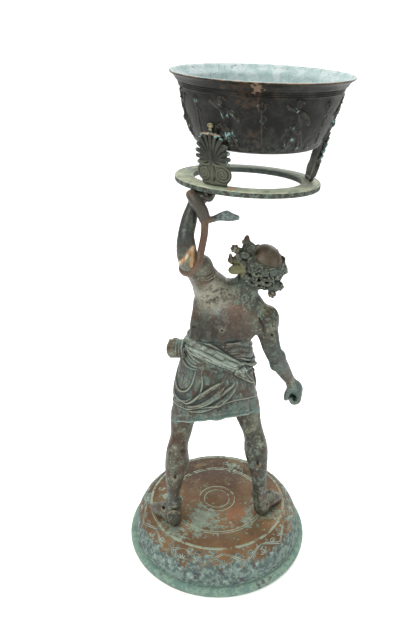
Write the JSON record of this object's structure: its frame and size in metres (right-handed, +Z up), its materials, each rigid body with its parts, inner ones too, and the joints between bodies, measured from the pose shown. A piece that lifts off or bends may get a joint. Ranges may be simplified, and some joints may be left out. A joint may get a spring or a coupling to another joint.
{
  "type": "bronze silenus statue",
  "caption": "Small bronze of an old silenus on a round base who lifts a ring with palmettes and an open bowl on it, a snake round his raised arm.",
  "frame": {"origin": "centre of the base's flat underside", "axes": "+Z up; the figure faces +Y, and its right hand is on the +X side"},
  "size_m": [0.2834, 0.265, 0.6671],
  "materials": {
    "base_bronze": "copper-red bronze with blue-green patina",
    "figure_bronze": "brown bronze with olive and teal patina",
    "snake_bronze": "brown bronze, rubbed",
    "ring_bronze": "pale olive-green patina",
    "palmette_bronze": "dark bronze with paler green ridges",
    "bowl_bronze": "nearly black bronze, pale blue crust inside"
  },
  "bodies": {
    "root": {"base": "base_bronze", "silenus": "figure_bronze", "snake": "snake_bronze", "ring": "ring_bronze", "palmette_front": "palmette_bronze", "palmette_side": "palmette_bronze", "palmette_back": "palmette_bronze", "bowl": "bowl_bronze"}
  },
  "joints": []
}
